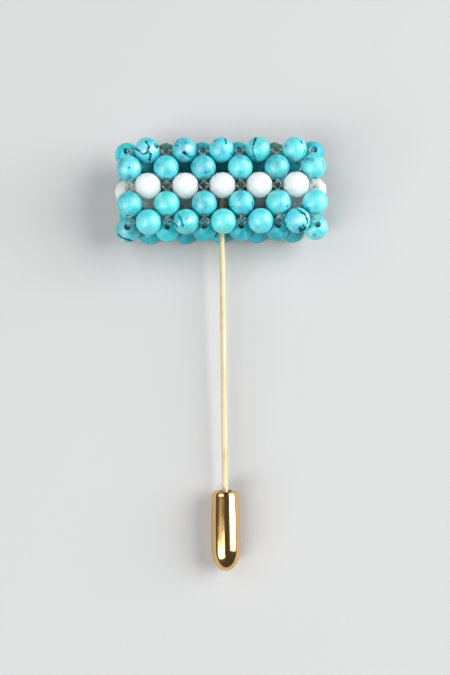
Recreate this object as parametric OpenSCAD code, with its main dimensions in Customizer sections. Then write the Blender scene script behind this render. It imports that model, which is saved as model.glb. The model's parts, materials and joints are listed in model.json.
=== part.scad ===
// Stick pin: a small box woven from round beads on a straight pin, with a bullet clutch on the point.
// It lies on its back. The box's front looks up (+Z), its top edge points to +Y, the pin's point to -Y.
// The origin is below the middle of the whole piece, on the surface that it lies on.

/* [Beads] */
// Diameter of a round stone bead
bead_d = 4; // [4:0.1:4.4]
// Gap left between two neighbouring beads
bead_gap = 0.17; // [0.15:0.01:0.3]
// Diameter of the hole drilled through every bead
hole_d = 0.96; // [0.94:0.02:1.1]
// Diameter of a white faceted bead across its corners
white_d = 4.26; // [4:0.02:4.3]
// Diameter of a clear faceted bead across its corners
crystal_d = 4.04; // [3.9:0.02:4.1]
// Facets round a white bead
white_sides = 10; // [8:2:12]
// Facets round a clear bead
crystal_sides = 8; // [8:2:12]

/* [Weave] */
// How far the beads that tie front to back stand out past the rim
rim_bulge = 0.4; // [0:0.05:0.5]
// Diameter of the clear thread
thread_d = 0.24; // [0.16:0.02:0.24]
// Distance of each run of thread from the middle of its hole
thread_inset = 0.26; // [0.24:0.01:0.28]

/* [Pin] */
// Diameter of the pin's wire
shaft_d = 0.9; // [0.7:0.05:1]
// Length of the pin between the middle of the box and the clutch
shaft_reach = 48; // [40:1:60]
// Length of the point inside the clutch
point_len = 8.5; // [7:0.5:8.5]
// Diameter of the flat head inside the box
head_d = 2.6; // [2:0.1:2.8]
// Sideways lean of the pin in the box, in degrees
pin_lean = 0.8; // [0:0.1:1.5]

/* [Clutch] */
// Largest diameter of the bullet clutch
clutch_d = 4.5; // [4.4:0.1:6]
// Diameter of the clutch at its flat mouth
clutch_mouth_d = 4.24; // [4:0.02:4.3]
// Length of the clutch
clutch_len = 12.2; // [11.5:0.1:14]
// Length of the clutch's rounded nose
nose_len = 3.4; // [2.5:0.1:4]

/* [Hidden] */
$fn = 64;
cells = 5;
rows = 2;

// Cell size of the weave: four beads round a square touch but for their gap.
cell = (bead_d + bead_gap) * sqrt(2);
end_x = cells / 2 * cell;

// The faceted beads have a small flat table round each end of the hole.
table_d = 1.5;
table_at = 0.93;
crown_latitude = 38;

// A loop of thread: where a run leaves its bead, and how round it turns into the next one.
thread_sides = 5;
run_half = bead_d / 2;
turn_r = cell / 2 - thread_inset - run_half;
turn_push = turn_r * (1 - cos(45));

// The pin thins towards its head, and has a slow taper and a ground tip inside the clutch.
shaft_r = shaft_d / 2;
neck_thinning = 0.05;
neck_r = shaft_r - neck_thinning;
head_t = 0.45;
head_clear = 0.1;
taper_thinning = 0.04;
taper_r = shaft_r - taper_thinning;
ground_len = 3;
taper_len = point_len - ground_len;
tip_r = 0.04;
shaft_start = cell + bead_d / 2;

// The clutch is a shell with a small round mouth, a long soft rounding at its rim and a chamber inside.
clutch_r = clutch_d / 2;
mouth_clear = 0.05;
mouth_r = shaft_r + mouth_clear;
lip = 1.2;
chamber_r = 1.6;
point_room = 1;
chamber_end = point_len + point_room;
rim_long = 1;
rim_in = 0.4;
rim_steps = 5;
belly_at = 6;
belly_steps = 5;
nose_steps = 14;

// The box rests on its back beads and the clutch on its belly, so the pin slopes down to the point.
box_z = cell / 2 + bead_d / 2;
belly_end = shaft_reach + clutch_len - nose_len;
pin_slope = asin(box_z / norm([belly_end, clutch_r])) - atan2(clutch_r, belly_end);
top_y = cell + rim_bulge + bead_d / 2;
tip_y = -(shaft_reach + clutch_len) * cos(pin_slope) * cos(pin_lean);
box_y = -(top_y + tip_y) / 2;

// The head sits on the two white and two clear beads round the middle of the box.
head_lift = white_d / 2 * sin(pin_slope) / cos(pin_slope);
seat_side = cell / 2 - head_d / 2 - head_lift;
seat_tie = cell / 2 - head_d / 2;
white_seat = white_d / 2 + head_clear;
crystal_seat = crystal_d / 2 + head_clear;
head_at = max(sqrt(pow(white_seat, 2) - pow(seat_side, 2)), sqrt(pow(crystal_seat, 2) - pow(seat_tie, 2)));

stone = "#45c8d4";
milk = "#ecedea";
clear_glass = "#aebfbd";
thread_colour = "#e6ecea";
gold = "#d9b26a";

function numbered(name, first, last) = [for (i = [first : last]) str(name, i)];
function unit(v) = v / norm(v);
function mean(points) = [for (k = [0 : 2]) [for (p = points) p[k]] * [for (p = points) 1 / len(points)]];

// Centres of the beads, from the middle of the box. Levels run 0, 1, 2 from bottom to top, rows 0 and 1
// from lower to upper, layers 0 for the back and 1 for the front.
function rail_at(i, level, layer) = [(i + 0.5) * cell - end_x, (level - 1) * cell, (layer - 0.5) * cell];
function post_at(i, row, layer) = [i * cell - end_x, (row - 0.5) * cell, (layer - 0.5) * cell];
function side_of(i) = i == 0 ? -1 : i == cells ? 1 : 0;
function tie_at(i, level) = [i * cell - end_x + side_of(i) * rim_bulge, (level - 1) * (cell + rim_bulge), 0];

// Which bead ties front to back at a column and level.
function tie_kind(i, level) =
    level == 1 ? (side_of(i) == 0 ? "crystal" : "white") :
    level == 2 && (i == 1 || i == cells - 1) ? "crystal" : "stone";

module in_box() translate([0, box_y, box_z]) children();
module on_pin() in_box() rotate([90 + pin_slope, 0, -pin_lean]) children();
module along_x(at) translate(at) rotate([0, 90, 0]) children();
module along_y(at) translate(at) rotate([90, 0, 0]) children();
module along_z(at) translate(at) children();

module bore() cylinder(h = 2 * bead_d, d = hole_d, center = true);

module stone_bead() difference() {
    sphere(d = bead_d);
    bore();
}

// A ring of corners of a cut bead: its radius, its height on the hole's axis and its first angle.
function corner_ring(r, z, sides, start) =
    [for (k = [0 : sides - 1]) [r * cos(start + 360 * k / sides), r * sin(start + 360 * k / sides), z]];

// Facets between two rings whose corners are half a step apart, seen from outside.
function crown_facets(low, high, sides, shifted) = [
    for (k = [0 : sides - 1])
        let (n = (k + 1) % sides)
        each shifted
            ? [[low + k, high + k, low + n], [high + k, high + n, low + n]]
            : [[low + k, high + k, high + n], [low + k, high + n, low + n]]
];

// A round bead cut with a belt of facets either side of the middle, a crown of them and two tables.
module cut_bead(corner_d, sides) {
    r = corner_d / 2;
    half_step = 180 / sides;
    table_z = r * table_at;
    corners = concat(
        corner_ring(table_d / 2, -table_z, sides, half_step),
        corner_ring(r * cos(crown_latitude), -r * sin(crown_latitude), sides, 0),
        corner_ring(r, 0, sides, half_step),
        corner_ring(r * cos(crown_latitude), r * sin(crown_latitude), sides, 0),
        corner_ring(table_d / 2, table_z, sides, half_step)
    );
    facets = concat(
        [[for (k = [0 : sides - 1]) k]],
        crown_facets(0, sides, sides, false),
        crown_facets(sides, 2 * sides, sides, true),
        crown_facets(2 * sides, 3 * sides, sides, false),
        crown_facets(3 * sides, 4 * sides, sides, true),
        [[for (k = [sides - 1 : -1 : 0]) 4 * sides + k]]
    );
    difference() {
        polyhedron(points = corners, faces = facets);
        bore();
    }
}

module white_bead() color(milk) cut_bead(white_d, white_sides);
module crystal_bead() color(clear_glass) cut_bead(crystal_d, crystal_sides);

// The turquoise beads among those that tie the front layer to the back.
module tie_beads() color(stone) in_box()
    for (i = [0 : cells], level = [0 : rows])
        if (tie_kind(i, level) == "stone") along_z(tie_at(i, level)) stone_bead();

// The turquoise beads of the back layer: its rails along the bottom and top, and its posts.
module back_beads() color(stone) in_box() {
    for (i = [0 : cells - 1], level = [0, rows]) along_x(rail_at(i, level, 0)) stone_bead();
    for (i = [0 : cells], row = [0 : rows - 1]) along_y(post_at(i, row, 0)) stone_bead();
}

// The four beads round each kind of cell face, as centre and direction of travel.
function front_face(i, row, layer) = [
    [rail_at(i, row, layer), [1, 0, 0]],
    [post_at(i + 1, row, layer), [0, 1, 0]],
    [rail_at(i, row + 1, layer), [-1, 0, 0]],
    [post_at(i, row, layer), [0, -1, 0]]
];
function level_face(i, level) = [
    [rail_at(i, level, 0), [1, 0, 0]],
    [tie_at(i + 1, level), [0, 0, 1]],
    [rail_at(i, level, 1), [-1, 0, 0]],
    [tie_at(i, level), [0, 0, -1]]
];
function side_face(i, row) = [
    [post_at(i, row, 0), [0, 1, 0]],
    [tie_at(i, row + 1), [0, 0, 1]],
    [post_at(i, row, 1), [0, -1, 0]],
    [tie_at(i, row), [0, 0, -1]]
];

// The middle line of one loop of thread. It runs straight through each bead, on the side of the hole
// that faces the cell's middle, and turns round the corner into the next bead.
function inward(bead, middle) =
    let (v = middle - bead[0]) unit(v - (v * bead[1]) * bead[1]) * thread_inset;
function run_start(bead, middle) = bead[0] - bead[1] * run_half + inward(bead, middle);
function run_end(bead, middle) = bead[0] + bead[1] * run_half + inward(bead, middle);
function turn_middle(a, b, middle) =
    let (p = (run_end(a, middle) + run_start(b, middle)) / 2) p + unit(p - middle) * turn_push;
function loop_line(beads) =
    let (middle = mean([for (b = beads) b[0]]))
    [for (k = [0 : 3]) let (b = beads[k], next = beads[(k + 1) % 4])
        each [run_start(b, middle), run_end(b, middle), turn_middle(b, next, middle)]];

// A closed tube along the line, with a ring of corners at each of its points.
module thread_loop(beads) {
    line = loop_line(beads);
    n = len(line);
    upright = cross(beads[0][1], beads[1][1]);
    corners = [
        for (k = [0 : n - 1])
            let (ahead = unit(line[(k + 1) % n] - line[(k + n - 1) % n]), side = unit(cross(ahead, upright)),
                up = cross(side, ahead))
            for (s = [0 : thread_sides - 1])
                let (turn = 360 * s / thread_sides)
                line[k] + (side * cos(turn) + up * sin(turn)) * thread_d / 2
    ];
    walls = [
        for (k = [0 : n - 1], s = [0 : thread_sides - 1])
            let (a = k * thread_sides, b = ((k + 1) % n) * thread_sides, t = (s + 1) % thread_sides)
            each [[a + s, b + s, b + t], [a + s, b + t, a + t]]
    ];
    polyhedron(points = corners, faces = walls);
}

module thread() color(thread_colour) in_box() {
    for (i = [0 : cells - 1], row = [0 : rows - 1], layer = [0, 1]) thread_loop(front_face(i, row, layer));
    for (i = [0 : cells - 1], level = [0 : rows]) thread_loop(level_face(i, level));
    for (i = [0 : cells], row = [0 : rows - 1]) thread_loop(side_face(i, row));
}

// One piece of wire, drawn along its axis from the head to the tip.
module pin() color(gold) on_pin() rotate_extrude() polygon([
    [0, -head_at - head_t],
    [head_d / 2, -head_at - head_t],
    [head_d / 2, -head_at],
    [neck_r, -head_at],
    [shaft_r, shaft_start],
    [shaft_r, shaft_reach],
    [taper_r, shaft_reach + taper_len],
    [tip_r, shaft_reach + point_len],
    [0, shaft_reach + point_len]
]);

// Outside of the clutch from its mouth to its nose: a rounded rim, a slight belly and a round nose.
function rim_curve() = [
    for (k = [0 : rim_steps]) let (a = 90 * k / rim_steps)
        [clutch_mouth_d / 2 - rim_in * (1 - sin(a)), rim_long * (1 - cos(a))]
];
function belly_curve() = [
    for (k = [1 : belly_steps]) let (t = k / belly_steps)
        [clutch_mouth_d / 2 + (clutch_r - clutch_mouth_d / 2) * sin(90 * t), rim_long + (belly_at - rim_long) * t]
];
function nose_curve() = [
    for (k = [0 : nose_steps]) let (a = 90 * k / nose_steps)
        [clutch_r * cos(a), clutch_len - nose_len * (1 - sin(a))]
];

module clutch() color(gold) on_pin() translate([0, 0, shaft_reach]) rotate_extrude() polygon(concat(
    [[mouth_r, 0]],
    rim_curve(),
    belly_curve(),
    nose_curve(),
    [[0, chamber_end], [chamber_r, chamber_end], [chamber_r, lip], [mouth_r, lip]]
));

for (i = [0 : cells - 1]) {
    color(stone) in_box() along_x(rail_at(i, rows, 1)) stone_bead();
    color(stone) in_box() along_x(rail_at(i, 0, 1)) stone_bead();
    in_box() along_x(rail_at(i, 1, 1)) white_bead();
    in_box() along_x(rail_at(i, 1, 0)) white_bead();
}
for (i = [0 : cells]) {
    color(stone) in_box() along_y(post_at(i, 1, 1)) stone_bead();
    color(stone) in_box() along_y(post_at(i, 0, 1)) stone_bead();
    if (tie_kind(i, 1) == "crystal") in_box() along_z(tie_at(i, 1)) crystal_bead();
    if (tie_kind(i, 2) == "crystal") in_box() along_z(tie_at(i, 2)) crystal_bead();
}
in_box() along_z(tie_at(0, 1)) white_bead();  // white_left
in_box() along_z(tie_at(cells, 1)) white_bead();  // white_right
tie_beads();
back_beads();
thread();
pin();
clutch();
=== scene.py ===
import bpy
import json
import math
import random
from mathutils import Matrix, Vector


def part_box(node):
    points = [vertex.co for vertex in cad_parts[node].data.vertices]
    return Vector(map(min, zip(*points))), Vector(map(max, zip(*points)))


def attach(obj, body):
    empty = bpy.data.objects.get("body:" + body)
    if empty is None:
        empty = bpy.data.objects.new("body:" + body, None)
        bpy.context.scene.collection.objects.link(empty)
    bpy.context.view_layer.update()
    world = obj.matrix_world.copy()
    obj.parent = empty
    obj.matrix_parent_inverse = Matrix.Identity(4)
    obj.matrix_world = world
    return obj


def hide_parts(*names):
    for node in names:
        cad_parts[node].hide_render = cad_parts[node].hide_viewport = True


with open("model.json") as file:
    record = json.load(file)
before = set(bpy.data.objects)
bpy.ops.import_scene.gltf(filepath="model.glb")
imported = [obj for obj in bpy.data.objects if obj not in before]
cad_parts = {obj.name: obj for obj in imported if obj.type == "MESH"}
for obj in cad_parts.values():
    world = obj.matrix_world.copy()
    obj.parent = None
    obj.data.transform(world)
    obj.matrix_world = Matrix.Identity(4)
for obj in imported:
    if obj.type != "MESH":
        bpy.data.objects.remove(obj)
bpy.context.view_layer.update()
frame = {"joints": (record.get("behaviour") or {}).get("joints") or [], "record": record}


# The view: the camera hangs nearly straight above the pin as it lies on its back, a hand's breadth
# away and a little towards the point, so the front of the bead box shows larger than its back.
MM = 0.001
VIEW_PLACE = Vector((-7.31, -17.22, 129.73)) * MM
VIEW_TURN = (8.782, -3.038, -1.671)  # degrees
VIEW_LENS, FILM_LONG_SIDE = 42.667, 36.0  # in the lens's own millimetres
NEAREST_SEEN = 1 * MM

camera_data = bpy.data.cameras.new("camera")
camera_data.lens = VIEW_LENS
camera_data.sensor_width = FILM_LONG_SIDE
camera_data.clip_start = NEAREST_SEEN
camera = bpy.data.objects.new("camera", camera_data)
camera.location = VIEW_PLACE
camera.rotation_euler = [math.radians(angle) for angle in VIEW_TURN]
bpy.context.scene.collection.objects.link(camera)
bpy.context.scene.camera = camera
bpy.context.scene.view_settings.view_transform = "Standard"


# The table it lies on: a wide board with a matt pale paint, rolled on, so it has no pattern at this
# size but for the faint orange peel that a roller leaves.
BOARD_SIDE = 3.0
BOARD_PAINT = "#BEBFBF"
ROLLER_PEEL, PEEL_DEPTH = 1.5 * MM, 0.02 * MM


def linear(colour):
    """A colour written as sRGB hex, turned linear for a shader."""
    parts = [int(colour[k:k + 2], 16) / 255 for k in (1, 3, 5)]
    return [p / 12.92 if p <= 0.04045 else ((p + 0.055) / 1.055) ** 2.4 for p in parts] + [1.0]


def add(material, kind, inputs=(), **settings):
    """Adds a node: settings are its properties, inputs are values or the sockets that feed it."""
    node = material.node_tree.nodes.new(kind)
    for key, value in settings.items():
        setattr(node, key, value)
    for key, value in dict(inputs).items():
        if isinstance(value, bpy.types.NodeSocket):
            material.node_tree.links.new(value, node.inputs[key])
        else:
            node.inputs[key].default_value = value
    return node


def new_material(name):
    material = bpy.data.materials.new(name)
    material.use_nodes = True
    material.node_tree.nodes.clear()
    return material


def surface(material, inputs):
    """Ends a material in its one shader and the output."""
    shader = add(material, "ShaderNodeBsdfPrincipled", inputs)
    add(material, "ShaderNodeOutputMaterial", {"Surface": shader.outputs["BSDF"]})


# Matt emulsion paint: no gloss, and a peel so shallow that only a raking light finds it.
matt_paint = new_material("matt_emulsion_paint")
board_place = add(matt_paint, "ShaderNodeTexCoord").outputs["Object"]
peel = add(matt_paint, "ShaderNodeTexNoise", {"Vector": board_place, "Scale": 1 / ROLLER_PEEL})
peel_bump = add(matt_paint, "ShaderNodeBump", {
    "Height": peel.outputs["Fac"], "Strength": 0.05, "Distance": PEEL_DEPTH})
surface(matt_paint, {
    "Base Color": linear(BOARD_PAINT), "Roughness": 0.85, "IOR": 1.45,
    "Specular IOR Level": 0.2, "Normal": peel_bump.outputs["Normal"]})

board_half = BOARD_SIDE / 2
board_mesh = bpy.data.meshes.new("board")
board_mesh.from_pydata(
    [(-board_half, -board_half, 0), (board_half, -board_half, 0),
     (board_half, board_half, 0), (-board_half, board_half, 0)], [], [(0, 1, 2, 3)])
board_mesh.materials.append(matt_paint)
board = bpy.data.objects.new("board", board_mesh)
bpy.context.scene.collection.objects.link(board)


# The lights: a large softbox to the right, one as bright to the left past the pin's point, and three
# faint cards from there to the far left. They are the two soft spots on every bead and the bright
# and dim bands on the clutch. Each is tipped sideways from overhead and reaches along the pin.
LIGHT_REACH = 0.6
SOFTBOXES = {  # degrees tipped to the right, from and to along Y, width, radiance
    "key_softbox": (56, -0.165, 0.400, 0.54, 6.2),
    "fill_softbox": (-42, -0.480, -0.148, 0.62, 6.6),
    "near_card": (-44, -0.148, -0.078, 0.26, 0.5),
    "middle_card": (-44, -0.078, 0.060, 0.26, 0.2),
    "far_card": (-40, 0.060, 0.450, 0.50, 2.0),
}
ROOM_GREY = "#4E4E4E"

for lamp_name, (tip, low_y, high_y, width, radiance) in SOFTBOXES.items():
    lamp = bpy.data.lights.new(lamp_name, "AREA")
    lamp.shape = "RECTANGLE"
    lamp.size, lamp.size_y = width, high_y - low_y
    # The power that makes its whole face as bright as asked.
    lamp.energy = math.pi * radiance * lamp.size * lamp.size_y
    softbox = bpy.data.objects.new(lamp_name, lamp)
    lean = math.radians(tip)
    softbox.location = (LIGHT_REACH * math.sin(lean), (low_y + high_y) / 2, LIGHT_REACH * math.cos(lean))
    softbox.rotation_euler = (0, lean, 0)
    softbox.visible_camera = False
    bpy.context.scene.collection.objects.link(softbox)

room = bpy.data.worlds.new("room")
room.use_nodes = True
room.node_tree.nodes["Background"].inputs["Color"].default_value = linear(ROOM_GREY)
bpy.context.scene.world = room


# Round turquoise-coloured beads: howlite, a porous white stone, ground into 4 mm balls, drilled
# through, dyed and tumbled to a wax polish. Five lie along each rail of the box, six stand in each
# row of posts, and more tie the front to the back. Each takes the dye a little differently.
BEAD_R, HOLE_R, BEAD_GAP = 2.0 * MM, 0.48 * MM, 0.17 * MM
RIM_BULGE = 0.4 * MM
DRILL_LIP, LIP_STEPS = 0.13 * MM, 3
TURN_STEPS, FRONT_RINGS, BACK_RINGS = 56, 34, 22
OUT_OF_ROUND = 0.006  # in bead radii, at most, along each of three directions
BALL_FROM = 0.8  # in bead radii: a point further in than this is in the bore
COLUMNS = 5
X, Y, Z = Vector((1, 0, 0)), Vector((0, 1, 0)), Vector((0, 0, 1))
NEARLY_ALONG = 0.9  # an axis that lies along Z by more than this is crossed with Y in its place

# Four beads round a square touch but for their gap, which gives the size of a cell of the weave. The
# middle of the box lies half a cell behind the middle of its front.
CELL = (2 * BEAD_R + BEAD_GAP) * math.sqrt(2)
top_low, top_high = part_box("rail_top_3")
base_low, base_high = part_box("rail_bottom_3")
BOX_MIDDLE = (top_low + top_high + base_low + base_high) / 4 - Z * CELL / 2


def rail_at(i, level, layer):
    """Centre of a bead along a rail. Levels are 0, 1, 2 upwards, and layer 1 is the front."""
    return BOX_MIDDLE + CELL * Vector((i + 0.5 - COLUMNS / 2, level - 1, layer - 0.5))


def post_at(i, row, layer):
    """Centre of a bead in a row of posts. Row 0 is the lower one, and layer 1 is the front."""
    return BOX_MIDDLE + CELL * Vector((i - COLUMNS / 2, row - 0.5, layer - 0.5))


def tie_at(i, level):
    """Centre of a bead that ties front to back. Those round the rim stand a little outwards."""
    bulge = Vector(((i == COLUMNS) - (i == 0), level - 1, 0)) * RIM_BULGE
    return BOX_MIDDLE + CELL * Vector((i - COLUMNS / 2, level - 1, 0)) + bulge


def turned_rings(profile, place, axis, steps, start=0.0):
    """Rings of points, one for each (radius, height) of a profile turned about an axis."""
    across = axis.cross(Z if abs(axis.z) < NEARLY_ALONG else Y).normalized()
    over = axis.cross(across)
    turns = [start + math.tau * k / steps for k in range(steps)]
    return [[place + axis * height + (across * math.cos(a) + over * math.sin(a)) * radius for a in turns]
            for radius, height in profile]


def ring_faces(first, rings, steps, closed=True):
    """Quads between neighbouring rings of a tube, numbered from its first point."""
    return [(first + a * steps + s, first + a * steps + t, first + b * steps + t, first + b * steps + s)
            for a in range(rings if closed else rings - 1) for b in [(a + 1) % rings]
            for s in range(steps) for t in [(s + 1) % steps]]


def corner(radius, height, size_in, size_along, steps):
    """A quarter round in a section, from a face at a height to a side at a radius. It lies inside that
    radius and above that height, or the other way where a size is less than nothing."""
    turns = [math.pi / 2 * k / steps for k in range(steps + 1)]
    return [(radius - size_in * (1 - math.sin(a)), height + size_along * (1 - math.cos(a))) for a in turns]


def as_seen(middle):
    """Directions to the right, up and out of a bead, as it shows from the front of the piece. They are
    fixed to the bead, so what is placed by them stays there from any side."""
    out = (VIEW_PLACE - middle).normalized()
    right = camera.rotation_euler.to_matrix() @ X
    right = (right - out * right.dot(out)).normalized()
    return right, out.cross(right), out


def bead_profile(rings):
    """Half a drilled ball in section: round outside, a rounded lip at each end, a straight bore."""
    lip_at = math.acos((HOLE_R + DRILL_LIP) / BEAD_R)
    latitudes = [lip_at * (2 * k / rings - 1) for k in range(rings + 1)]
    ball = [(BEAD_R * math.cos(a), BEAD_R * math.sin(a)) for a in latitudes]
    lip = corner(HOLE_R, ball[-1][1], -DRILL_LIP, -DRILL_LIP, LIP_STEPS)[1:]
    return ball + lip + [(r, -z) for r, z in reversed(lip)]


def add_piece(name, points, faces, material, body="brooch", smooth=True, replaces=()):
    """Makes a mesh piece that rides on a body and stands for its CAD nodes."""
    mesh = bpy.data.meshes.new(name)
    mesh.from_pydata(points, [], faces)
    mesh.polygons.foreach_set("use_smooth", [smooth] * len(mesh.polygons))
    mesh.materials.append(material)
    mesh.update()
    piece = bpy.data.objects.new(name, mesh)
    bpy.context.scene.collection.objects.link(piece)
    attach(piece, body)
    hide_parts(*replaces)
    return piece


def stone_points(place, axis, rings, pits, draw):
    """Points of one tumbled bead: not quite round, with its pits pressed in."""
    right, up, front = as_seen(place)
    leans = [Vector([draw.gauss(0, 1) for _ in range(3)]).normalized() for _ in range(3)]
    swells = [draw.uniform(-OUT_OF_ROUND, OUT_OF_ROUND) for _ in leans]
    points = []
    for ring in turned_rings(bead_profile(rings), place, axis, TURN_STEPS, draw.uniform(0, math.tau)):
        for point in ring:
            out = (point - place) / BEAD_R
            scale = 1 + sum(swell * out.dot(lean) ** 2 for swell, lean in zip(swells, leans))
            for u, v, size, depth in pits:
                reach = math.hypot(out.dot(right) - u, out.dot(up) - v) / size
                if out.dot(front) > 0 and reach < 1 and out.length > BALL_FROM:
                    scale -= depth * (1 - reach ** 2) ** 2
            points.append(place + out * BEAD_R * scale)
    return points


def stone_piece(name, beads, material, rings, replaces, pits=(), painted_shade=0.0):
    """One piece that holds the beads at these places and along these axes. Its points keep how light
    each bead's dye is, lowered by a painted shade on beads that lie in shade, and whether it leans to
    green or to blue."""
    points, faces, dye_and_shade, hue = [], [], [], []
    ring_count = len(bead_profile(rings))
    for place, axis in beads:
        draw = random.Random(f"{name} {len(points)}")
        faces += ring_faces(len(points), ring_count, TURN_STEPS)
        bead = stone_points(place, axis, rings, pits, draw)
        dye_and_shade += [draw.random() - painted_shade] * len(bead)
        hue += [draw.random()] * len(bead)
        points += bead
    piece = add_piece(name, points, faces, material, replaces=replaces)
    piece.data.attributes.new("dye_and_shade", "FLOAT", "POINT").data.foreach_set("value", dye_and_shade)
    piece.data.attributes.new("hue", "FLOAT", "POINT").data.foreach_set("value", hue)
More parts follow.
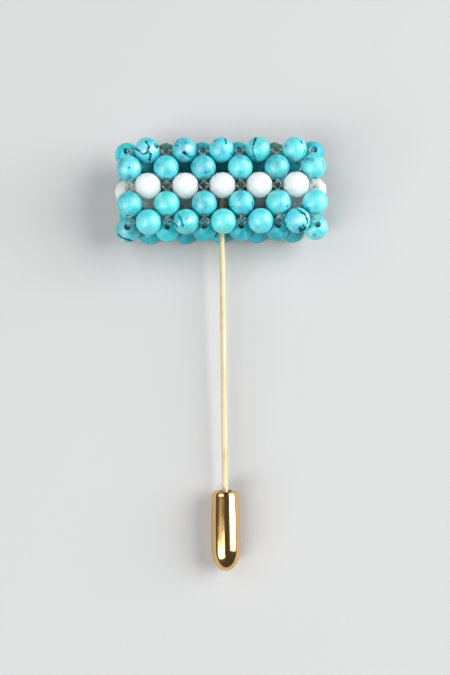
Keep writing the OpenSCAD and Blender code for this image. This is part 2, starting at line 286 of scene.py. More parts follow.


# What the stone shows on certain beads, in bead radii right and up from the bead's middle as it is
# seen. Cracks and the fainter veins are lines of (right, up, half width), where a half width of nothing
# or less leaves only the stain beside a line. Pale patches, patches of deeper dye and dark spots are
# (right, up, radius). The pale patches are partly undyed stone and partly painted highlight, as some
# lie on the bead's highlights or its lit rim. The deeper patches are partly deeper dye and partly
# painted shade, as most lie towards the rims, where the bead is shaded. Pits are (right, up, radius,
# depth), and are pressed into the shape.
MARKS = {
    "rail_top_1": {
        "cracks": [
            [(-0.09, 0.66, 0.05), (0.03, 0.46, 0.02), (0.14, 0.27, 0.06), (0.03, 0.09, 0.02),
             (0.01, -0.04, 0.05), (0.12, -0.13, 0.03), (0.27, -0.30, 0.06), (0.20, -0.50, 0.03),
             (0.15, -0.73, 0.06)],
            [(-0.91, 0.16, 0.04), (-0.70, 0.02, 0.04), (-0.50, -0.15, 0.01), (-0.36, -0.28, 0.02),
             (-0.19, -0.23, 0.05), (-0.04, -0.15, 0.03)],
            [(0.59, 0.53, 0.03), (0.64, 0.37, 0.02), (0.73, 0.26, 0.05)],
            [(0.85, 0.53, 0.03), (0.84, 0.27, 0.04)]],
        "pale_and_highlight": [(-0.22, 0.0, 0.18), (0.40, 0.14, 0.22), (0.31, -0.10, 0.2), (0.70, 0.05, 0.15)]},
    "rail_top_2": {
        "cracks": [[(-0.03, -0.16, 0.08), (0.03, -0.20, 0.09), (0.15, -0.36, 0.04), (0.28, -0.43, 0.0)]],
        "veins": [[(0.10, -0.30, 0.06), (0.28, -0.44, 0.06), (0.47, -0.54, 0.05), (0.66, -0.48, 0.03)],
                  [(-0.70, 0.50, 0.02), (-0.48, 0.28, 0.03)], [(0.06, 0.58, 0.0), (0.15, 0.58, 0.0)],
                  [(-0.38, 0.05, -0.02), (-0.28, 0.11, -0.02)]],
        "pale_and_highlight": [(0.26, 0.15, 0.36)],
        "deep_dye_and_shade": [(-0.30, -0.55, 0.45), (-0.54, 0.65, 0.25), (-0.75, 0.32, 0.25)],
        "pits": [(0.02, -0.18, 0.22, 0.07)]},
    "rail_top_3": {
        "cracks": [[(0.27, 0.86, 0.02), (0.36, 0.68, 0.04), (0.36, 0.55, 0.01), (0.40, 0.46, 0.03)]],
        "veins": [[(0.77, -0.28, 0.04), (0.90, -0.35, 0.05)]],
        "deep_dye_and_shade": [(-0.50, 0.66, 0.25)]},
    "rail_top_4": {
        "cracks": [[(-0.17, 0.98, 0.03), (-0.24, 0.71, 0.045), (-0.35, 0.40, 0.04), (-0.44, 0.14, 0.0)]],
        "veins": [[(-0.43, 0.10, 0.01), (-0.41, -0.20, 0.03), (-0.33, -0.43, 0.06), (-0.24, -0.65, 0.05),
                   (-0.13, -0.91, 0.06)]],
        "deep_dye_and_shade": [(-0.53, -0.56, 0.3)]},
    "rail_top_5": {
        "veins": [[(0.22, 0.80, 0.01), (0.38, 0.70, -0.02), (0.52, 0.60, 0.06), (0.57, 0.45, 0.04)],
                  [(0.70, 0.10, -0.02), (0.84, -0.10, 0.05), (0.73, -0.34, 0.0), (0.73, -0.50, -0.01)]],
        "spots": [(0.13, -0.12, 0.07), (-0.13, -0.83, 0.06)],
        "deep_dye_and_shade": [(-0.36, -0.62, 0.35), (-0.72, 0.30, 0.22)]},
    "post_upper_1": {
        "spots": [(0.03, 0.02, 0.11)],
        "veins": [[(0.48, 0.33, -0.04), (0.60, 0.22, -0.02), (0.58, -0.10, -0.03), (0.72, -0.25, -0.01)],
                  [(0.72, 0.36, -0.03), (0.66, 0.04, -0.03)]],
        "deep_dye_and_shade": [(-0.65, 0.38, 0.3), (-0.55, 0.62, 0.3), (0.02, -0.62, 0.3)],
        "pale_and_highlight": [(0.62, 0.10, 0.3)]},
    "post_upper_3": {
        "veins": [[(0.50, -0.18, 0.0), (0.44, -0.38, 0.01)], [(0.60, -0.46, 0.0), (0.66, -0.62, 0.04)],
                  [(0.22, -0.33, 0.06), (0.24, -0.44, 0.05)]],
        "deep_dye_and_shade": [(-0.70, 0.20, 0.3)]},
    "post_upper_4": {"deep_dye_and_shade": [(0.0, 0.87, 0.4)]},
    "post_upper_5": {
        "veins": [[(0.30, 0.66, -0.02), (0.50, 0.60, 0.0), (0.66, 0.48, -0.02)],
                  [(0.30, -0.60, -0.04), (0.55, -0.42, -0.02), (0.74, -0.18, -0.03)]],
        "deep_dye_and_shade": [(-0.20, -0.62, 0.34), (-0.48, -0.52, 0.2), (-0.60, 0.44, 0.4)]},
    "post_upper_6": {
        "veins": [[(-0.60, 0.58, 0.04), (-0.49, 0.62, 0.06)],
                  [(0.68, 0.50, 0.0), (0.82, 0.15, 0.01), (0.84, -0.10, -0.01)]],
        "deep_dye_and_shade": [(-0.50, -0.60, 0.35), (-0.69, 0.50, 0.28), (-0.32, 0.54, 0.26), (-0.08, 0.54, 0.22)]},
    "post_lower_1": {"deep_dye_and_shade": [(-0.47, 0.60, 0.2)]},
    "post_lower_3": {"deep_dye_and_shade": [(-0.63, 0.32, 0.3), (-0.72, -0.20, 0.3)]},
    "post_lower_4": {
        "spots": [(-0.74, -0.29, 0.08)],
        "veins": [[(0.85, 0.10, 0.02), (0.90, -0.30, 0.04)], [(0.62, -0.57, 0.03), (0.75, -0.80, 0.05)]]},
    "post_lower_5": {
        "spots": [(0.71, -0.29, 0.09)],
        "veins": [[(0.37, -0.86, 0.04), (0.62, -0.72, 0.06), (0.80, -0.51, 0.03)]]},
    "post_lower_6": {"deep_dye_and_shade": [(-0.60, -0.66, 0.35)]},
    "rail_bottom_2": {
        "veins": [[(-0.52, 0.40, 0.06), (-0.37, 0.17, 0.06), (-0.31, -0.11, 0.05), (-0.25, -0.31, 0.09)],
                  [(-1.0, -0.08, 0.04), (-0.80, -0.21, 0.06), (-0.71, -0.40, 0.03)]],
        "deep_dye_and_shade": [(0.24, -0.90, 0.25), (-0.61, 0.55, 0.2), (0.29, -0.68, 0.12)],
        "pale_and_highlight": [(-0.60, -0.20, 0.15), (0.25, 0.05, 0.3)]},
    "rail_bottom_5": {
        "cracks": [[(-0.19, 0.93, 0.01), (0.11, 0.74, 0.03), (0.32, 0.61, 0.05), (0.54, 0.44, 0.04),
                    (0.69, 0.16, 0.03), (0.78, -0.14, 0.03), (0.75, -0.27, 0.01)]],
        "spots": [(0.20, -0.64, 0.20), (0.32, -0.83, 0.26), (0.54, -0.78, 0.22), (0.60, -0.58, 0.16),
                  (0.44, -0.42, 0.13)],
        "deep_dye_and_shade": [(0.10, -0.85, 0.35), (0.40, -0.61, 0.34)],
        "pale_and_highlight": [(0.80, 0.42, 0.2), (0.15, -0.02, 0.35)],
        "pits": [(0.39, -0.61, 0.30, 0.08)]},
    "tie_bottom_left": {
        "cracks": [[(-0.85, -0.35, 0.01), (-0.58, -0.52, 0.03), (-0.38, -0.62, 0.03), (-0.15, -0.73, 0.06),
                    (0.29, -0.83, 0.02)]],
        "pale_and_highlight": [(-0.38, -0.50, 0.15), (-0.45, -0.82, 0.2)]},
    "tie_bottom_right": {
        "veins": [[(-0.56, 0.10, 0.03), (-0.45, 0.10, 0.05)]],
        "deep_dye_and_shade": [(-0.10, -0.60, 0.25)], "pale_and_highlight": [(-0.46, -0.30, 0.15), (-0.38, -0.52, 0.12)]},
}
LINE_KINK, MARK_SHAKE, MARKS_FADE = 0.35 * MM, 0.30, 0.3
NOISE_MIDDLE, NOISE_SPAN = 0.5, {"From Min": 0.3, "From Max": 0.7}  # where most of a noise lies


def line_depth(stone, seen, lines):
    """How far inside the edge of the nearest line a place lies: the line's half width there, less the
    distance from its middle."""
    deepest = None
    for line in lines:
        for (u0, v0, wide0), (u1, v1, wide1) in zip(line, line[1:]):
            run = Vector((u1 - u0, v1 - v0, 0))
            start = add(stone, "ShaderNodeVectorMath", {0: seen, 1: (u0, v0, 0)}, operation="SUBTRACT")
            along = add(stone, "ShaderNodeVectorMath", {
                0: start.outputs["Vector"], 1: run / run.length_squared}, operation="DOT_PRODUCT")
            part = add(stone, "ShaderNodeClamp", {"Value": along.outputs["Value"]})
            foot = add(stone, "ShaderNodeVectorMath", {
                0: run, "Scale": part.outputs["Result"]}, operation="SCALE")
            gap = add(stone, "ShaderNodeVectorMath", {
                0: start.outputs["Vector"], 1: foot.outputs["Vector"]}, operation="DISTANCE")
            wide = add(stone, "ShaderNodeMapRange", {
                "Value": part.outputs["Result"], "To Min": wide0, "To Max": wide1})
            inside = add(stone, "ShaderNodeMath", {
                0: wide.outputs["Result"], 1: gap.outputs["Value"]}, operation="SUBTRACT").outputs["Value"]
            deepest = inside if deepest is None else add(
                stone, "ShaderNodeMath", {0: deepest, 1: inside}, operation="MAXIMUM").outputs["Value"]
    return deepest


def patches(stone, seen, spots, edge):
    """How much of a place lies in any of the round spots, which are soft over a share of their radius."""
    most = None
    for u, v, size in spots:
        gap = add(stone, "ShaderNodeVectorMath", {0: seen, 1: (u, v, 0)}, operation="DISTANCE")
        inside = add(stone, "ShaderNodeMapRange", {
            "Value": gap.outputs["Value"], "From Min": size, "From Max": size * (1 - edge)}).outputs["Result"]
        most = inside if most is None else add(
            stone, "ShaderNodeMath", {0: most, 1: inside}, operation="MAXIMUM").outputs["Value"]
    return most


def bead_view(stone, place, middle):
    """Where a place lies on a bead as it is seen, in bead radii, a little shaken so that its marks are
    ragged, and whether it is on the side that is seen."""
    local = add(stone, "ShaderNodeVectorMath", {0: place, 1: middle}, operation="SUBTRACT")
    right, up, out = [add(stone, "ShaderNodeVectorMath", {
        0: local.outputs["Vector"], 1: way / BEAD_R}, operation="DOT_PRODUCT").outputs["Value"]
        for way in as_seen(middle)]
    flat = add(stone, "ShaderNodeCombineXYZ", {"X": right, "Y": up})
    shake = add(stone, "ShaderNodeTexNoise", {
        "Vector": place, "Scale": 1 / LINE_KINK, "Detail": 4.0, "Roughness": 0.6})
    centred = add(stone, "ShaderNodeVectorMath", {
        0: shake.outputs["Color"], 1: (NOISE_MIDDLE,) * 3}, operation="SUBTRACT")
    seen = add(stone, "ShaderNodeVectorMath", {
        0: centred.outputs["Vector"], 1: (MARK_SHAKE, MARK_SHAKE, 0), 2: flat.outputs["Vector"]},
        operation="MULTIPLY_ADD")
    front = add(stone, "ShaderNodeMapRange", {"Value": out, "From Min": 0.0, "From Max": MARKS_FADE})
    return seen.outputs["Vector"], front.outputs["Result"]


# Dyed howlite, wax polished: the dye gathers in the porous parts, so the colour is mottled over a
# millimetre or two and drifts to green or blue, hard parts stay chalky, and the matrix draws thin
# dark lines. The wax gives soft wide highlights. The real grain is finer than a tenth of a millimetre,
# drawn here at a fifth so that it shows.
# The deep dye colour also stands for painted shade, on the deeper patches and on the shaded ties and back.
# The chalk colour also stands for painted highlight, on some pale patches.
DYE_LIGHT, DYE_MID, DYE_DEEP_AND_SHADE = "#54DCE2", "#1AC8D4", "#008EA0"
DYE_GREEN, DYE_BLUE = "#20C4BE", "#26BED8"
CHALK_AND_HIGHLIGHT, VEIN, MATRIX = "#D8E6F2", "#0C7A88", "#02262E"
LAYERS = (  # laid over the dye one after another, with the most that each may cover
    ("deep_dye_and_shade", DYE_DEEP_AND_SHADE, 0.9), ("pale_and_highlight", CHALK_AND_HIGHLIGHT, 0.65), ("veins", VEIN, 0.85),
    ("cracks", MATRIX, 0.95), ("spots", MATRIX, 0.85))
MOTTLE, HUE_DRIFT, CHALK_PATCH, GRAIN, WEB = 1.7 * MM, 2.1 * MM, 2.3 * MM, 0.22 * MM, 3.2 * MM
DYE_SPREAD, HUE_SPREAD = 0.30, 0.26  # from bead to bead
LINE_STAIN, LINE_RAGGED, SPOT_EDGE, PATCH_EDGE = 0.06, 0.12, 0.5, 0.8
WEB_HALF, WEB_WANDER = 0.03, 1.6 * MM
STONE_RELIEF, SUNK = 0.02 * MM, 0.6
FULL_WAX, THIN_WAX = 1.0, 0.4


def dyed_howlite(name, middle=None, marks=None, shine=FULL_WAX):
    """The stone, with the marks of the bead whose middle is given, and with this much wax on it."""
    stone = new_material(name)
    place = add(stone, "ShaderNodeTexCoord").outputs["Object"]
    mottle = add(stone, "ShaderNodeTexNoise", {
        "Vector": place, "Scale": 1 / MOTTLE, "Detail": 4.0, "Roughness": 0.62, "Distortion": 0.6})
    drift = add(stone, "ShaderNodeTexNoise", {
        "Vector": place, "Scale": 1 / HUE_DRIFT, "Detail": 3.0, "Distortion": 0.8})
    chalk = add(stone, "ShaderNodeTexNoise", {
        "Vector": place, "Scale": 1 / CHALK_PATCH, "Detail": 6.0, "Roughness": 0.7, "Distortion": 1.0})
    grain = add(stone, "ShaderNodeTexNoise", {"Vector": place, "Scale": 1 / GRAIN, "Detail": 3.0})

    # Lighter and deeper parts, and the drift of the hue, both shifted from bead to bead.
    # The dye value is lowered on the shaded ties and back beads, so the deeper share also paints their shade.
    dye_and_shade = add(stone, "ShaderNodeAttribute", attribute_name="dye_and_shade")
    uneven = add(stone, "ShaderNodeMath", {
        0: dye_and_shade.outputs["Fac"], 1: DYE_SPREAD, 2: mottle.outputs["Fac"]}, operation="MULTIPLY_ADD")
    light = add(stone, "ShaderNodeMapRange", {
        "Value": uneven.outputs["Value"], "From Min": 0.52, "From Max": 0.82})
    deep_dye_and_shade = add(stone, "ShaderNodeMapRange", {
        "Value": uneven.outputs["Value"], "From Min": 0.62, "From Max": 0.40,
        "To Max": 0.8}).outputs["Result"]
    hue = add(stone, "ShaderNodeAttribute", attribute_name="hue")
    turned = add(stone, "ShaderNodeMath", {
        0: hue.outputs["Fac"], 1: HUE_SPREAD, 2: drift.outputs["Fac"]}, operation="MULTIPLY_ADD")
    green = add(stone, "ShaderNodeMapRange", {
        "Value": turned.outputs["Value"], "From Min": 0.66, "From Max": 0.86, "To Max": 0.8})
    blue = add(stone, "ShaderNodeMapRange", {
        "Value": turned.outputs["Value"], "From Min": 0.60, "From Max": 0.42, "To Max": 0.8})
    colour = linear(DYE_MID)
    for share, tone in ((light, DYE_LIGHT), (green, DYE_GREEN), (blue, DYE_BLUE)):
        colour = add(stone, "ShaderNodeMixRGB", {
            "Fac": share.outputs["Result"], "Color1": colour, "Color2": linear(tone)}).outputs["Color"]
    # This chalk is the stone's own. The pale marks laid into the same share are partly painted highlight.
    pale_and_highlight = add(stone, "ShaderNodeMapRange", {
        "Value": chalk.outputs["Fac"], "From Min": 0.58, "From Max": 0.74, "To Max": 0.45}).outputs["Result"]

    # The fine web of matrix, faint on most beads and broken off where the stone is sound.
    wander = add(stone, "ShaderNodeVectorMath", {
        0: chalk.outputs["Color"], 1: (WEB_WANDER,) * 3, 2: place}, operation="MULTIPLY_ADD")
    web = add(stone, "ShaderNodeTexVoronoi", {
        "Vector": wander.outputs["Vector"], "Scale": 1 / WEB}, feature="DISTANCE_TO_EDGE")
    line = add(stone, "ShaderNodeMapRange", {
        "Value": web.outputs["Distance"], "From Min": WEB_HALF, "From Max": 0.0})
    broken = add(stone, "ShaderNodeMapRange", {
        "Value": mottle.outputs["Fac"], "From Min": 0.50, "From Max": 0.62, "To Max": 0.5})
    dark = add(stone, "ShaderNodeMath", {
        0: line.outputs["Result"], 1: broken.outputs["Result"]}, operation="MULTIPLY").outputs["Value"]

    # The bead's own marks: each kind is laid over what the plain stone has of it.
    shares = {"deep_dye_and_shade": deep_dye_and_shade, "pale_and_highlight": pale_and_highlight, "veins": dark}
    if marks:
        seen, front = bead_view(stone, place, middle)
        for kind in [kind for kind in marks if kind != "pits"]:
            if kind in ("veins", "cracks"):
                ragged = add(stone, "ShaderNodeMath", {
                    0: grain.outputs["Fac"], 1: LINE_RAGGED, 2: line_depth(stone, seen, marks[kind])},
                    operation="MULTIPLY_ADD")
                shape = add(stone, "ShaderNodeMapRange", {
                    "Value": ragged.outputs["Value"],
                    "From Min": NOISE_MIDDLE * LINE_RAGGED - LINE_STAIN,
                    "From Max": NOISE_MIDDLE * LINE_RAGGED}).outputs["Result"]
            else:
                edge = SPOT_EDGE if kind == "spots" else PATCH_EDGE
                shape = patches(stone, seen, marks[kind], edge)
            shown = add(stone, "ShaderNodeMath", {
                0: shape, 1: front}, operation="MULTIPLY").outputs["Value"]
            shares[kind] = shown if kind not in shares else add(
                stone, "ShaderNodeMath", {0: shares[kind], 1: shown}, operation="MAXIMUM").outputs["Value"]

    # The deeper dye laid on here is partly painted shade, and the chalk is partly painted highlight.
    for kind, tone, most in LAYERS:
        if kind in shares:
            share = add(stone, "ShaderNodeMath", {0: shares[kind], 1: most}, operation="MULTIPLY")
            colour = add(stone, "ShaderNodeMixRGB", {
                "Fac": share.outputs["Value"], "Color1": colour, "Color2": linear(tone)}).outputs["Color"]
    speckle = add(stone, "ShaderNodeMapRange", {
        "Value": grain.outputs["Fac"], **NOISE_SPAN, "To Min": 0.93, "To Max": 1.05})
    colour = add(stone, "ShaderNodeVectorMath", {
        0: colour, "Scale": speckle.outputs["Result"]}, operation="SCALE")
    matt = add(stone, "ShaderNodeMapRange", {
        "Value": mottle.outputs["Fac"], **NOISE_SPAN, "To Min": 0.45, "To Max": 0.57})

    # Veins, cracks and spots are open and sunk, and the wax leaves them matt.
    relief, wax = grain.outputs["Fac"], shine
    for kind in ("veins", "cracks", "spots"):
        if kind in shares:
            relief = add(stone, "ShaderNodeMath", {
                0: shares[kind], 1: -SUNK, 2: relief}, operation="MULTIPLY_ADD").outputs["Value"]
            wax = add(stone, "ShaderNodeMath", {
                0: wax, 1: shares[kind]}, operation="SUBTRACT", use_clamp=True).outputs["Value"]
    bump = add(stone, "ShaderNodeBump", {"Height": relief, "Strength": 0.25, "Distance": STONE_RELIEF})
    surface(stone, {
        "Base Color": colour.outputs["Vector"], "Roughness": matt.outputs["Result"], "IOR": 1.59,
        "Specular IOR Level": wax, "Coat Weight": wax, "Coat Roughness": 0.56, "Coat IOR": 1.65,
        "Normal": bump.outputs["Normal"]})
    return stone


plain_stone = dyed_howlite("dyed_howlite")


def front_stone(name, place, axis, node=None):
    """A round bead of the front, with its own marks where it has any. It stands for the CAD node of
    the same name, unless another is given."""
    marks = MARKS.get(name, {})
    stone = dyed_howlite("dyed_howlite_" + name, place, marks) if marks else plain_stone
    stone_piece("stone_" + name, [(place, axis)], stone, FRONT_RINGS, [node or name], marks.get("pits", ()))


for i in range(COLUMNS):
    front_stone(f"rail_top_{i + 1}", rail_at(i, 2, 1), X)
    front_stone(f"rail_bottom_{i + 1}", rail_at(i, 0, 1), X)
for i in range(COLUMNS + 1):
    front_stone(f"post_upper_{i + 1}", post_at(i, 1, 1), Y)
    front_stone(f"post_lower_{i + 1}", post_at(i, 0, 1), Y)
front_stone("tie_bottom_left", tie_at(0, 0), Z, "tie_beads")
front_stone("tie_bottom_right", tie_at(COLUMNS, 0), Z, "tie_beads")

# The other ties and the back are drawn with their dye lowered: a painted shade, as they lie behind
# and below the front. They keep less of the wax.
TIES_PAINTED_SHADE, BACK_PAINTED_SHADE = 0.55, 0.75
dull_stone = dyed_howlite("dyed_howlite_thin_wax", shine=THIN_WAX)
marked_ties = [(0, 0), (COLUMNS, 0)]
clear_ties = [(1, 2), (COLUMNS - 1, 2)]
plain_ties = [(tie_at(i, level), Z) for i in range(COLUMNS + 1) for level in (0, 2)
              if (i, level) not in marked_ties + clear_ties]
stone_piece("stone_ties", plain_ties, dull_stone, FRONT_RINGS, ["tie_beads"], painted_shade=TIES_PAINTED_SHADE)
back_rails = [(rail_at(i, level, 0), X) for i in range(COLUMNS) for level in (0, 2)]
back_posts = [(post_at(i, row, 0), Y) for i in range(COLUMNS + 1) for row in (0, 1)]
stone_piece(
    "stone_back", back_rails + back_posts, dull_stone, BACK_RINGS, ["back_beads"], painted_shade=BACK_PAINTED_SHADE)


# The two kinds of cut bead: pressed glass, ground with a belt of facets either side of its middle, a
# crown of them and a small flat table round each end of the hole. Milky ones run along the middle of
# the front and back and stand at its two ends. Clear ones tie the front to the back between them.
MILKY_R, MILKY_SIDES, MILKY_CROWNS = 2.13 * MM, 10, (24, 48)  # crowns in degrees above the middle
CLEAR_R, CLEAR_SIDES, CLEAR_CROWNS = 2.02 * MM, 8, (38,)
TABLE_AT, TABLE_R = 0.93, 0.75 * MM  # its height in bead radii
GLASS_BORE_R, BORE_PER_SIDE = 0.33 * MM, 4
GLASS_LIP, GLASS_LIP_STEPS = 0.05 * MM, 3  # the hole is narrower by this at its mouth
GRIND_SLIP = 0.010  # in bead radii, at most
GROUND_EDGE, EDGE_STEPS, FLATTEST_GROUND = 0.035 * MM, 2, math.radians(9)


def facets(first, belts, sides):
    """Triangles between belts of corners, each belt half a step on from the one below it."""
    faces = []
    for belt in range(belts):
        low, high = first + belt * sides, first + (belt + 1) * sides
        for k in range(sides):
            n = (k + 1) % sides
            if belt % 2:
                faces += [(low + k, low + n, high + k), (high + k, low + n, high + n)]
            else:
                faces += [(low + k, high + n, high + k), (low + k, low + n, high + n)]
    return faces


def cut_bead(place, axis, radius, sides, crowns, draw):
    """Points and faces of one cut bead. Each grind goes a little too deep or too shallow."""
    half = math.pi / sides
    table_z = radius * TABLE_AT
    latitudes = [math.radians(a) for a in [-crown for crown in reversed(crowns)] + [0, *crowns]]
    points = turned_rings([(TABLE_R, -table_z)], place, axis, sides, half)[0]
    for k, a in enumerate(latitudes):
        belt = [(radius * math.cos(a), radius * math.sin(a))]
        ring = turned_rings(belt, place, axis, sides, half * (k % 2))[0]
        points += [place + (point - place) * (1 - draw.random() * GRIND_SLIP) for point in ring]
    points += turned_rings([(TABLE_R, table_z)], place, axis, sides, half)[0]
    faces = facets(0, len(latitudes) + 1, sides)

    steps = sides * BORE_PER_SIDE
    bore = corner(GLASS_BORE_R, table_z, GLASS_LIP, -GLASS_LIP, GLASS_LIP_STEPS)
    bore += [(r, -z) for r, z in reversed(bore)]
    first = len(points)
    for ring in turned_rings(bore, place, axis, steps, half):
        points += ring
    faces += ring_faces(first, len(bore), steps, closed=False)
    top, last = first - sides, first + (len(bore) - 1) * steps
    for k in range(sides):
        n = (k + 1) % sides
        arc = [(k * BORE_PER_SIDE + s) % steps for s in range(BORE_PER_SIDE + 1)]
        faces.append([top + k, top + n] + [first + s for s in reversed(arc)])
        faces.append([n, k] + [last + s for s in arc])
    return points, faces


def cut_piece(name, place, axis, shape, material, node):
    """One cut bead with flat facets, whose edges the grinding has softened."""
    points, faces = cut_bead(place, axis, *shape, random.Random(name))
    piece = add_piece(name, points, faces, material, smooth=False, replaces=[node])
    edge = piece.modifiers.new("ground_edge", "BEVEL")
    edge.width = GROUND_EDGE
    edge.segments = EDGE_STEPS
    edge.limit_method = "ANGLE"
    edge.angle_limit = FLATTEST_GROUND


# Milky glass: opal glass that lets light in and scatters it, so the facets differ only faintly and
# the edges glow. Its slight clouds are a few tenths of a millimetre across. Those at the two ends are a
# greyer copy of the same glass, a painted shade for the two beads that lie in shade, and let a little
# of what is behind them through.
OPAL, OPAL_CLOUD, OPAL_CLEAR = "#FBF8F1", "#F4F2EB", 0.0
# The end beads' greyer tones are painted shade.
SHADED_OPAL, SHADED_CLOUD, THIN_CLEAR = "#F6F0E6", "#EBE9E0", 0.12
CLOUD, CLOUD_WAVE, LIGHT_TRAVEL = 0.8 * MM, 0.05 * MM, 7.0 * MM


def opal_glass(name, tone, cloud_tone, clear):
    """Milky glass of these two colours, with a share of it that is clear."""
    glass = new_material(name)
    place = add(glass, "ShaderNodeTexCoord").outputs["Object"]
    clouds = add(glass, "ShaderNodeTexNoise", {
        "Vector": place, "Scale": 1 / CLOUD, "Detail": 4.0, "Roughness": 0.6})
    milk = add(glass, "ShaderNodeMixRGB", {
        "Fac": clouds.outputs["Fac"], "Color1": linear(tone), "Color2": linear(cloud_tone)})
    gloss = add(glass, "ShaderNodeMapRange", {
        "Value": clouds.outputs["Fac"], **NOISE_SPAN, "To Min": 0.45, "To Max": 0.58})
    wave = add(glass, "ShaderNodeBump", {
        "Height": clouds.outputs["Fac"], "Strength": 0.08, "Distance": CLOUD_WAVE})
    surface(glass, {
        "Base Color": milk.outputs["Color"], "Roughness": gloss.outputs["Result"], "IOR": 1.5,
        "Subsurface Weight": 1.0, "Subsurface Radius": (1.0, 0.95, 0.9), "Subsurface Scale": LIGHT_TRAVEL,
        "Transmission Weight": clear, "Normal": wave.outputs["Normal"]})
    return glass


milky_glass = opal_glass("opal_glass_fire_polished", OPAL, OPAL_CLOUD, OPAL_CLEAR)
shaded_milky_glass = opal_glass("shaded_opal_glass_fire_polished", SHADED_OPAL, SHADED_CLOUD, THIN_CLEAR)

# Clear glass: smoky green and faintly hazy in the depth of the bead, sharp and bright where a facet
# faces a lamp. Fire polish leaves its facets gently wavy.
SMOKY = "#6CB8AA"
POLISH_WAVE, WAVE_DEPTH = 1.1 * MM, 0.1 * MM
clear_glass = new_material("smoky_glass_fire_polished")
clear_place = add(clear_glass, "ShaderNodeTexCoord").outputs["Object"]
polish = add(clear_glass, "ShaderNodeTexNoise", {
    "Vector": clear_place, "Scale": 1 / POLISH_WAVE, "Detail": 2.0})
polish_wave = add(clear_glass, "ShaderNodeBump", {
    "Height": polish.outputs["Fac"], "Strength": 0.15, "Distance": WAVE_DEPTH})
surface(clear_glass, {
    "Base Color": linear(SMOKY), "Roughness": 0.03, "IOR": 1.52, "Transmission Weight": 0.72,
    "Normal": polish_wave.outputs["Normal"]})

milky_shape = (MILKY_R, MILKY_SIDES, MILKY_CROWNS)
clear_shape = (CLEAR_R, CLEAR_SIDES, CLEAR_CROWNS)
for i in range(COLUMNS):
    cut_piece(f"milky_front_{i + 1}", rail_at(i, 1, 1), X, milky_shape,
              milky_glass, f"white_front_{i + 1}")
    cut_piece(f"milky_back_{i + 1}", rail_at(i, 1, 0), X, milky_shape,
              milky_glass, f"white_back_{i + 1}")
cut_piece("milky_left", tie_at(0, 1), Z, milky_shape, shaded_milky_glass, "white_left")
cut_piece("milky_right", tie_at(COLUMNS, 1), Z, milky_shape, shaded_milky_glass, "white_right")
for i in range(1, COLUMNS):
    cut_piece(f"clear_middle_{i + 1}", tie_at(i, 1), Z, clear_shape,
              clear_glass, f"crystal_middle_{i + 1}")
for i, level in clear_ties:
    cut_piece(f"clear_top_{i + 1}", tie_at(i, level), Z, clear_shape,
              clear_glass, f"crystal_top_{i + 1}")


# The thread: clear nylon monofilament, a quarter of a millimetre thick. It runs round the four beads
# of every cell of the box, so two strands or more pass side by side through each hole, and it shows
# only where it turns from one bead into the next.
THREAD_R, THREAD_INSET = 0.12 * MM, 0.15 * MM
THREAD_SIDES, TURN_POINTS = 8, 7
CIRCLE_PULL = 0.5523  # in radii: how far a curve's handles reach to draw a quarter of a circle


def front_face(i, row, layer):
    """The beads round a cell of the front or back, each with the way the thread goes through it."""
    return [(rail_at(i, row, layer), X), (post_at(i + 1, row, layer), Y),
            (rail_at(i, row + 1, layer), -X), (post_at(i, row, layer), -Y)]


def level_face(i, level):
    """The same for a cell of the box's top, bottom or middle."""
    return [(rail_at(i, level, 0), X), (tie_at(i + 1, level), Z),
            (rail_at(i, level, 1), -X), (tie_at(i, level), -Z)]


def side_face(i, row):
    """The same for a cell at an end, or between two columns."""
    return [(post_at(i, row, 0), Y), (tie_at(i, row + 1), Z),
            (post_at(i, row, 1), -Y), (tie_at(i, row), -Z)]


def thread_line(beads):
    """The closed line of one loop: straight through each bead, then a round turn into the next."""
    middle = sum((place for place, _ in beads), Vector()) / len(beads)
    runs = []
    for place, way in beads:
        inward = middle - place
        inward = (inward - way * inward.dot(way)).normalized() * THREAD_INSET
        runs.append((place - way * BEAD_R + inward, place + way * BEAD_R + inward, way))
    line = []
    for (_, leave, way), (enter, _, onward) in zip(runs, runs[1:] + runs[:1]):
        pull = (enter - leave).length / math.sqrt(2) * CIRCLE_PULL
        a, b, c, d = leave, leave + way * pull, enter - onward * pull, enter
        for k in range(TURN_POINTS + 1):
            t = k / TURN_POINTS
            s = 1 - t
            line.append(a * s ** 3 + b * 3 * s * s * t + c * 3 * s * t * t + d * t ** 3)
    return line


thread_points, thread_faces = [], []
cells = [front_face(i, row, layer) for i in range(COLUMNS) for row in (0, 1) for layer in (0, 1)]
cells += [level_face(i, level) for i in range(COLUMNS) for level in (0, 1, 2)]
cells += [side_face(i, row) for i in range(COLUMNS + 1) for row in (0, 1)]
for beads in cells:
    line = thread_line(beads)
    upright = beads[0][1].cross(beads[1][1])
    thread_faces += ring_faces(len(thread_points), len(line), THREAD_SIDES)
    for before, point, after in zip(line[-1:] + line[:-1], line, line[1:] + line[:1]):
        ahead = (after - before).normalized()
        side = ahead.cross(upright).normalized()
        up = side.cross(ahead)
        turns = [math.tau * s / THREAD_SIDES for s in range(THREAD_SIDES)]
        thread_points += [point + (side * math.cos(a) + up * math.sin(a)) * THREAD_R for a in turns]

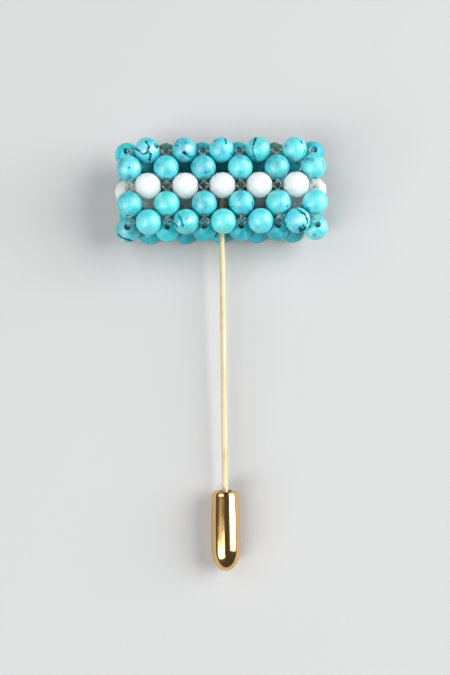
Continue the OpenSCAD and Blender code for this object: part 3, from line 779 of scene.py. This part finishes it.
# Nylon line: glassy smooth and nearly clear, hazy in patches, so it reads as short bright strokes.
# It hardly bends what is behind it, or so fine a line would show as a dark mesh. Its skin is glossy.
NYLON, HAZE = "#F4F7F6", 0.7 * MM
nylon = new_material("nylon_monofilament")
nylon_place = add(nylon, "ShaderNodeTexCoord").outputs["Object"]
haze = add(nylon, "ShaderNodeTexNoise", {"Vector": nylon_place, "Scale": 1 / HAZE, "Detail": 2.0})
haze_gloss = add(nylon, "ShaderNodeMapRange", {
    "Value": haze.outputs["Fac"], **NOISE_SPAN, "To Min": 0.10, "To Max": 0.25})
haze_clear = add(nylon, "ShaderNodeMapRange", {
    "Value": haze.outputs["Fac"], **NOISE_SPAN, "To Min": 0.98, "To Max": 0.84})
surface(nylon, {
    "Base Color": linear(NYLON), "Roughness": haze_gloss.outputs["Result"], "IOR": 1.06,
    "Transmission Weight": haze_clear.outputs["Result"], "Coat Weight": 0.8, "Coat Roughness": 0.10,
    "Coat IOR": 1.53})
add_piece("thread_loops", thread_points, thread_faces, nylon, replaces=["thread"])


# The pin: one length of hard brass wire, drawn to 0.9 mm, with a flat head pressed on the end that
# sits on the middle beads inside the box. Inside the clutch it thins a little, and its last three
# millimetres are ground to a point.
mount = next(m for m in frame["record"]["mounts"] if m["name"] == "pin_shaft")
PIN_AXIS = Vector(frame["joints"][0]["axis"]).normalized()
SHAFT_R, SHAFT_HALF = mount["dims"]["r_mm"] * MM, mount["dims"]["length_mm"] / 2 * MM
shaft_middle = (Vector(mount["pos_m"]) - BOX_MIDDLE).length
SHAFT_START, SHAFT_REACH = shaft_middle - SHAFT_HALF, shaft_middle + SHAFT_HALF
HEAD_R, HEAD_THICK, HEAD_ROUND = 1.3 * MM, 0.45 * MM, 0.1 * MM
POINT_LEN, GROUND_LEN, TIP_R = 8.5 * MM, 3.0 * MM, 0.04 * MM
NECK_THINNING, TAPER_THINNING = 0.05 * MM, 0.04 * MM
WIRE_STEPS, SHARP_TURN = 40, math.radians(40)

# The head's flat top is where the CAD pin's box ends, at the upper edge of the leaning head.
pin_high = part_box("pin")[1]
pin_tilt = math.acos(-PIN_AXIS.y)
head_top = (pin_high.y - BOX_MIDDLE.y - HEAD_R * math.sin(pin_tilt)) / math.cos(pin_tilt)
HEAD_AT = head_top - HEAD_THICK


def turned_piece(name, section, place, steps, material, body, node):
    """A piece turned about the pin's axis. Its section starts and ends on the axis, in a fan each."""
    rings = turned_rings([p for p in section if p[0] > 0], place, PIN_AXIS, steps)
    points = [point for ring in rings for point in ring]
    faces = ring_faces(0, len(rings), steps, closed=False)
    first, last, end = len(points), len(points) + 1, (len(rings) - 1) * steps
    points += [place + PIN_AXIS * section[0][1], place + PIN_AXIS * section[-1][1]]
    faces += [(first, (s + 1) % steps, s) for s in range(steps)]
    faces += [(last, end + s, end + (s + 1) % steps) for s in range(steps)]
    piece = add_piece(name, points, faces, material, body=body, replaces=[node])
    piece.data.set_sharp_from_angle(angle=SHARP_TURN)


pin_section = [(0, -head_top), (HEAD_R - HEAD_ROUND, -head_top), (HEAD_R, HEAD_ROUND - head_top)]
pin_section += [(HEAD_R, -HEAD_AT - HEAD_ROUND), (HEAD_R - HEAD_ROUND, -HEAD_AT)]
pin_section += [(SHAFT_R - NECK_THINNING, -HEAD_AT), (SHAFT_R, SHAFT_START), (SHAFT_R, SHAFT_REACH)]
pin_section += [(SHAFT_R - TAPER_THINNING, SHAFT_REACH + POINT_LEN - GROUND_LEN)]
pin_section += [(TIP_R, SHAFT_REACH + POINT_LEN), (0, SHAFT_REACH + POINT_LEN)]

# Pale gold plating on drawn wire: bright but satin, with fine lines along its length from the die.
# Real die lines are hundredths of a millimetre apart, drawn here at a twentieth so that they show.
PALE_GOLD, PALE_GOLD_WORN = "#E2D0AC", "#D0BC94"
DIE_LINE, DIE_RUN, DIE_DEPTH, WEAR = 0.05 * MM, 6 * MM, 0.01 * MM, 2.5 * MM
drawn_gold = new_material("gold_plated_drawn_wire")
wire_place = add(drawn_gold, "ShaderNodeTexCoord").outputs["Object"]
wire_stretch = add(drawn_gold, "ShaderNodeVectorMath", {
    0: wire_place, 1: (1 / DIE_LINE, 1 / DIE_RUN, 1 / DIE_LINE)}, operation="MULTIPLY")
die_lines = add(drawn_gold, "ShaderNodeTexNoise", {
    "Vector": wire_stretch.outputs["Vector"], "Scale": 1.0, "Detail": 3.0})
wear = add(drawn_gold, "ShaderNodeTexNoise", {"Vector": wire_place, "Scale": 1 / WEAR, "Detail": 4.0})
worn = add(drawn_gold, "ShaderNodeMapRange", {
    "Value": wear.outputs["Fac"], "From Min": 0.45, "From Max": 0.75})
wire_tone = add(drawn_gold, "ShaderNodeMixRGB", {
    "Fac": worn.outputs["Result"], "Color1": linear(PALE_GOLD), "Color2": linear(PALE_GOLD_WORN)})
wire_satin = add(drawn_gold, "ShaderNodeMapRange", {
    "Value": die_lines.outputs["Fac"], **NOISE_SPAN, "To Min": 0.58, "To Max": 0.70})
wire_bump = add(drawn_gold, "ShaderNodeBump", {
    "Height": die_lines.outputs["Fac"], "Strength": 0.15, "Distance": DIE_DEPTH})
surface(drawn_gold, {
    "Base Color": wire_tone.outputs["Color"], "Metallic": 1.0,
    "Roughness": wire_satin.outputs["Result"], "Normal": wire_bump.outputs["Normal"]})
turned_piece("pin_wire", pin_section, BOX_MIDDLE, WIRE_STEPS, drawn_gold, "brooch", "pin")


# The clutch: a bullet-shaped shell spun from thin brass, polished and gold plated, that grips the
# point by a small spring behind its dished mouth. It slides off along the wire.
CLUTCH_R, MOUTH_R, CLUTCH_LEN, NOSE_LEN, BELLY_AT = 2.25 * MM, 2.12 * MM, 12.2 * MM, 3.4 * MM, 6.0 * MM
RIM_LONG, RIM_IN, RIM_STEPS = 1.0 * MM, 0.4 * MM, 14
GRIP_ROOM, POINT_ROOM = 0.05 * MM, 1.0 * MM
GRIP_R, GRIP_END = SHAFT_R + GRIP_ROOM, 1.2 * MM
CHAMBER_R, CHAMBER_END = 1.6 * MM, POINT_LEN + POINT_ROOM
DISH_DEEP, DISH_RIM = 0.30 * MM, 0.12 * MM
CLUTCH_STEPS, BELLY_STEPS, NOSE_STEPS = 96, 10, 28

dish_r = MOUTH_R - RIM_IN - DISH_RIM
clutch_section = [(0, CHAMBER_END), (CHAMBER_R, CHAMBER_END), (CHAMBER_R, GRIP_END), (GRIP_R, GRIP_END)]
clutch_section += [(GRIP_R, DISH_DEEP), (dish_r - DISH_DEEP / 2, DISH_DEEP), (dish_r, 0)]
clutch_section += corner(MOUTH_R, 0, RIM_IN, RIM_LONG, RIM_STEPS)
for k in range(1, BELLY_STEPS + 1):
    t = k / BELLY_STEPS
    swell = math.sin(math.pi / 2 * t)
    clutch_section.append((MOUTH_R + (CLUTCH_R - MOUTH_R) * swell, RIM_LONG + (BELLY_AT - RIM_LONG) * t))
for k in range(NOSE_STEPS):
    a = math.pi / 2 * k / NOSE_STEPS
    clutch_section.append((CLUTCH_R * math.cos(a), CLUTCH_LEN - NOSE_LEN * (1 - math.sin(a))))
clutch_section.append((0, CLUTCH_LEN))

# Polished gold plating: a mirror with a warm colour. Handling leaves hair-fine scratches and soft
# smears, and the spun shell is never quite true, so its reflections waver. Real scratches are a few
# thousandths of a millimetre wide, drawn here ten times as wide so that they show.
GOLD, GOLD_DEEP = "#F3CA8C", "#E4B474"
SMEAR, HAIR_LONG, HAIR_WIDE = 1.8 * MM, 0.5 * MM, 0.04 * MM
WAVER_DEPTH, HAIR_DEPTH = 0.03 * MM, 0.01 * MM
polished_gold = new_material("polished_gold_plating")
gold_place = add(polished_gold, "ShaderNodeTexCoord").outputs["Object"]
smears = add(polished_gold, "ShaderNodeTexNoise", {
    "Vector": gold_place, "Scale": 1 / SMEAR, "Detail": 5.0, "Roughness": 0.65})
hair_stretch = add(polished_gold, "ShaderNodeVectorMath", {
    0: gold_place, 1: (1 / HAIR_LONG, 1 / HAIR_WIDE, 1 / HAIR_LONG)}, operation="MULTIPLY")
hairs = add(polished_gold, "ShaderNodeTexNoise", {
    "Vector": hair_stretch.outputs["Vector"], "Scale": 1.0, "Detail": 2.0})
gold_tone = add(polished_gold, "ShaderNodeMixRGB", {
    "Fac": smears.outputs["Fac"], "Color1": linear(GOLD), "Color2": linear(GOLD_DEEP)})
gold_polish = add(polished_gold, "ShaderNodeMapRange", {
    "Value": smears.outputs["Fac"], "From Min": 0.35, "From Max": 0.7, "To Min": 0.10, "To Max": 0.18})
untrue = add(polished_gold, "ShaderNodeBump", {
    "Height": smears.outputs["Fac"], "Strength": 0.08, "Distance": WAVER_DEPTH})
scratched = add(polished_gold, "ShaderNodeBump", {
    "Height": hairs.outputs["Fac"], "Strength": 0.04, "Distance": HAIR_DEPTH,
    "Normal": untrue.outputs["Normal"]})
surface(polished_gold, {
    "Base Color": gold_tone.outputs["Color"], "Metallic": 1.0,
    "Roughness": gold_polish.outputs["Result"], "Normal": scratched.outputs["Normal"]})
turned_piece("clutch_shell", clutch_section, BOX_MIDDLE + PIN_AXIS * SHAFT_REACH, CLUTCH_STEPS,
             polished_gold, "clutch", "clutch")
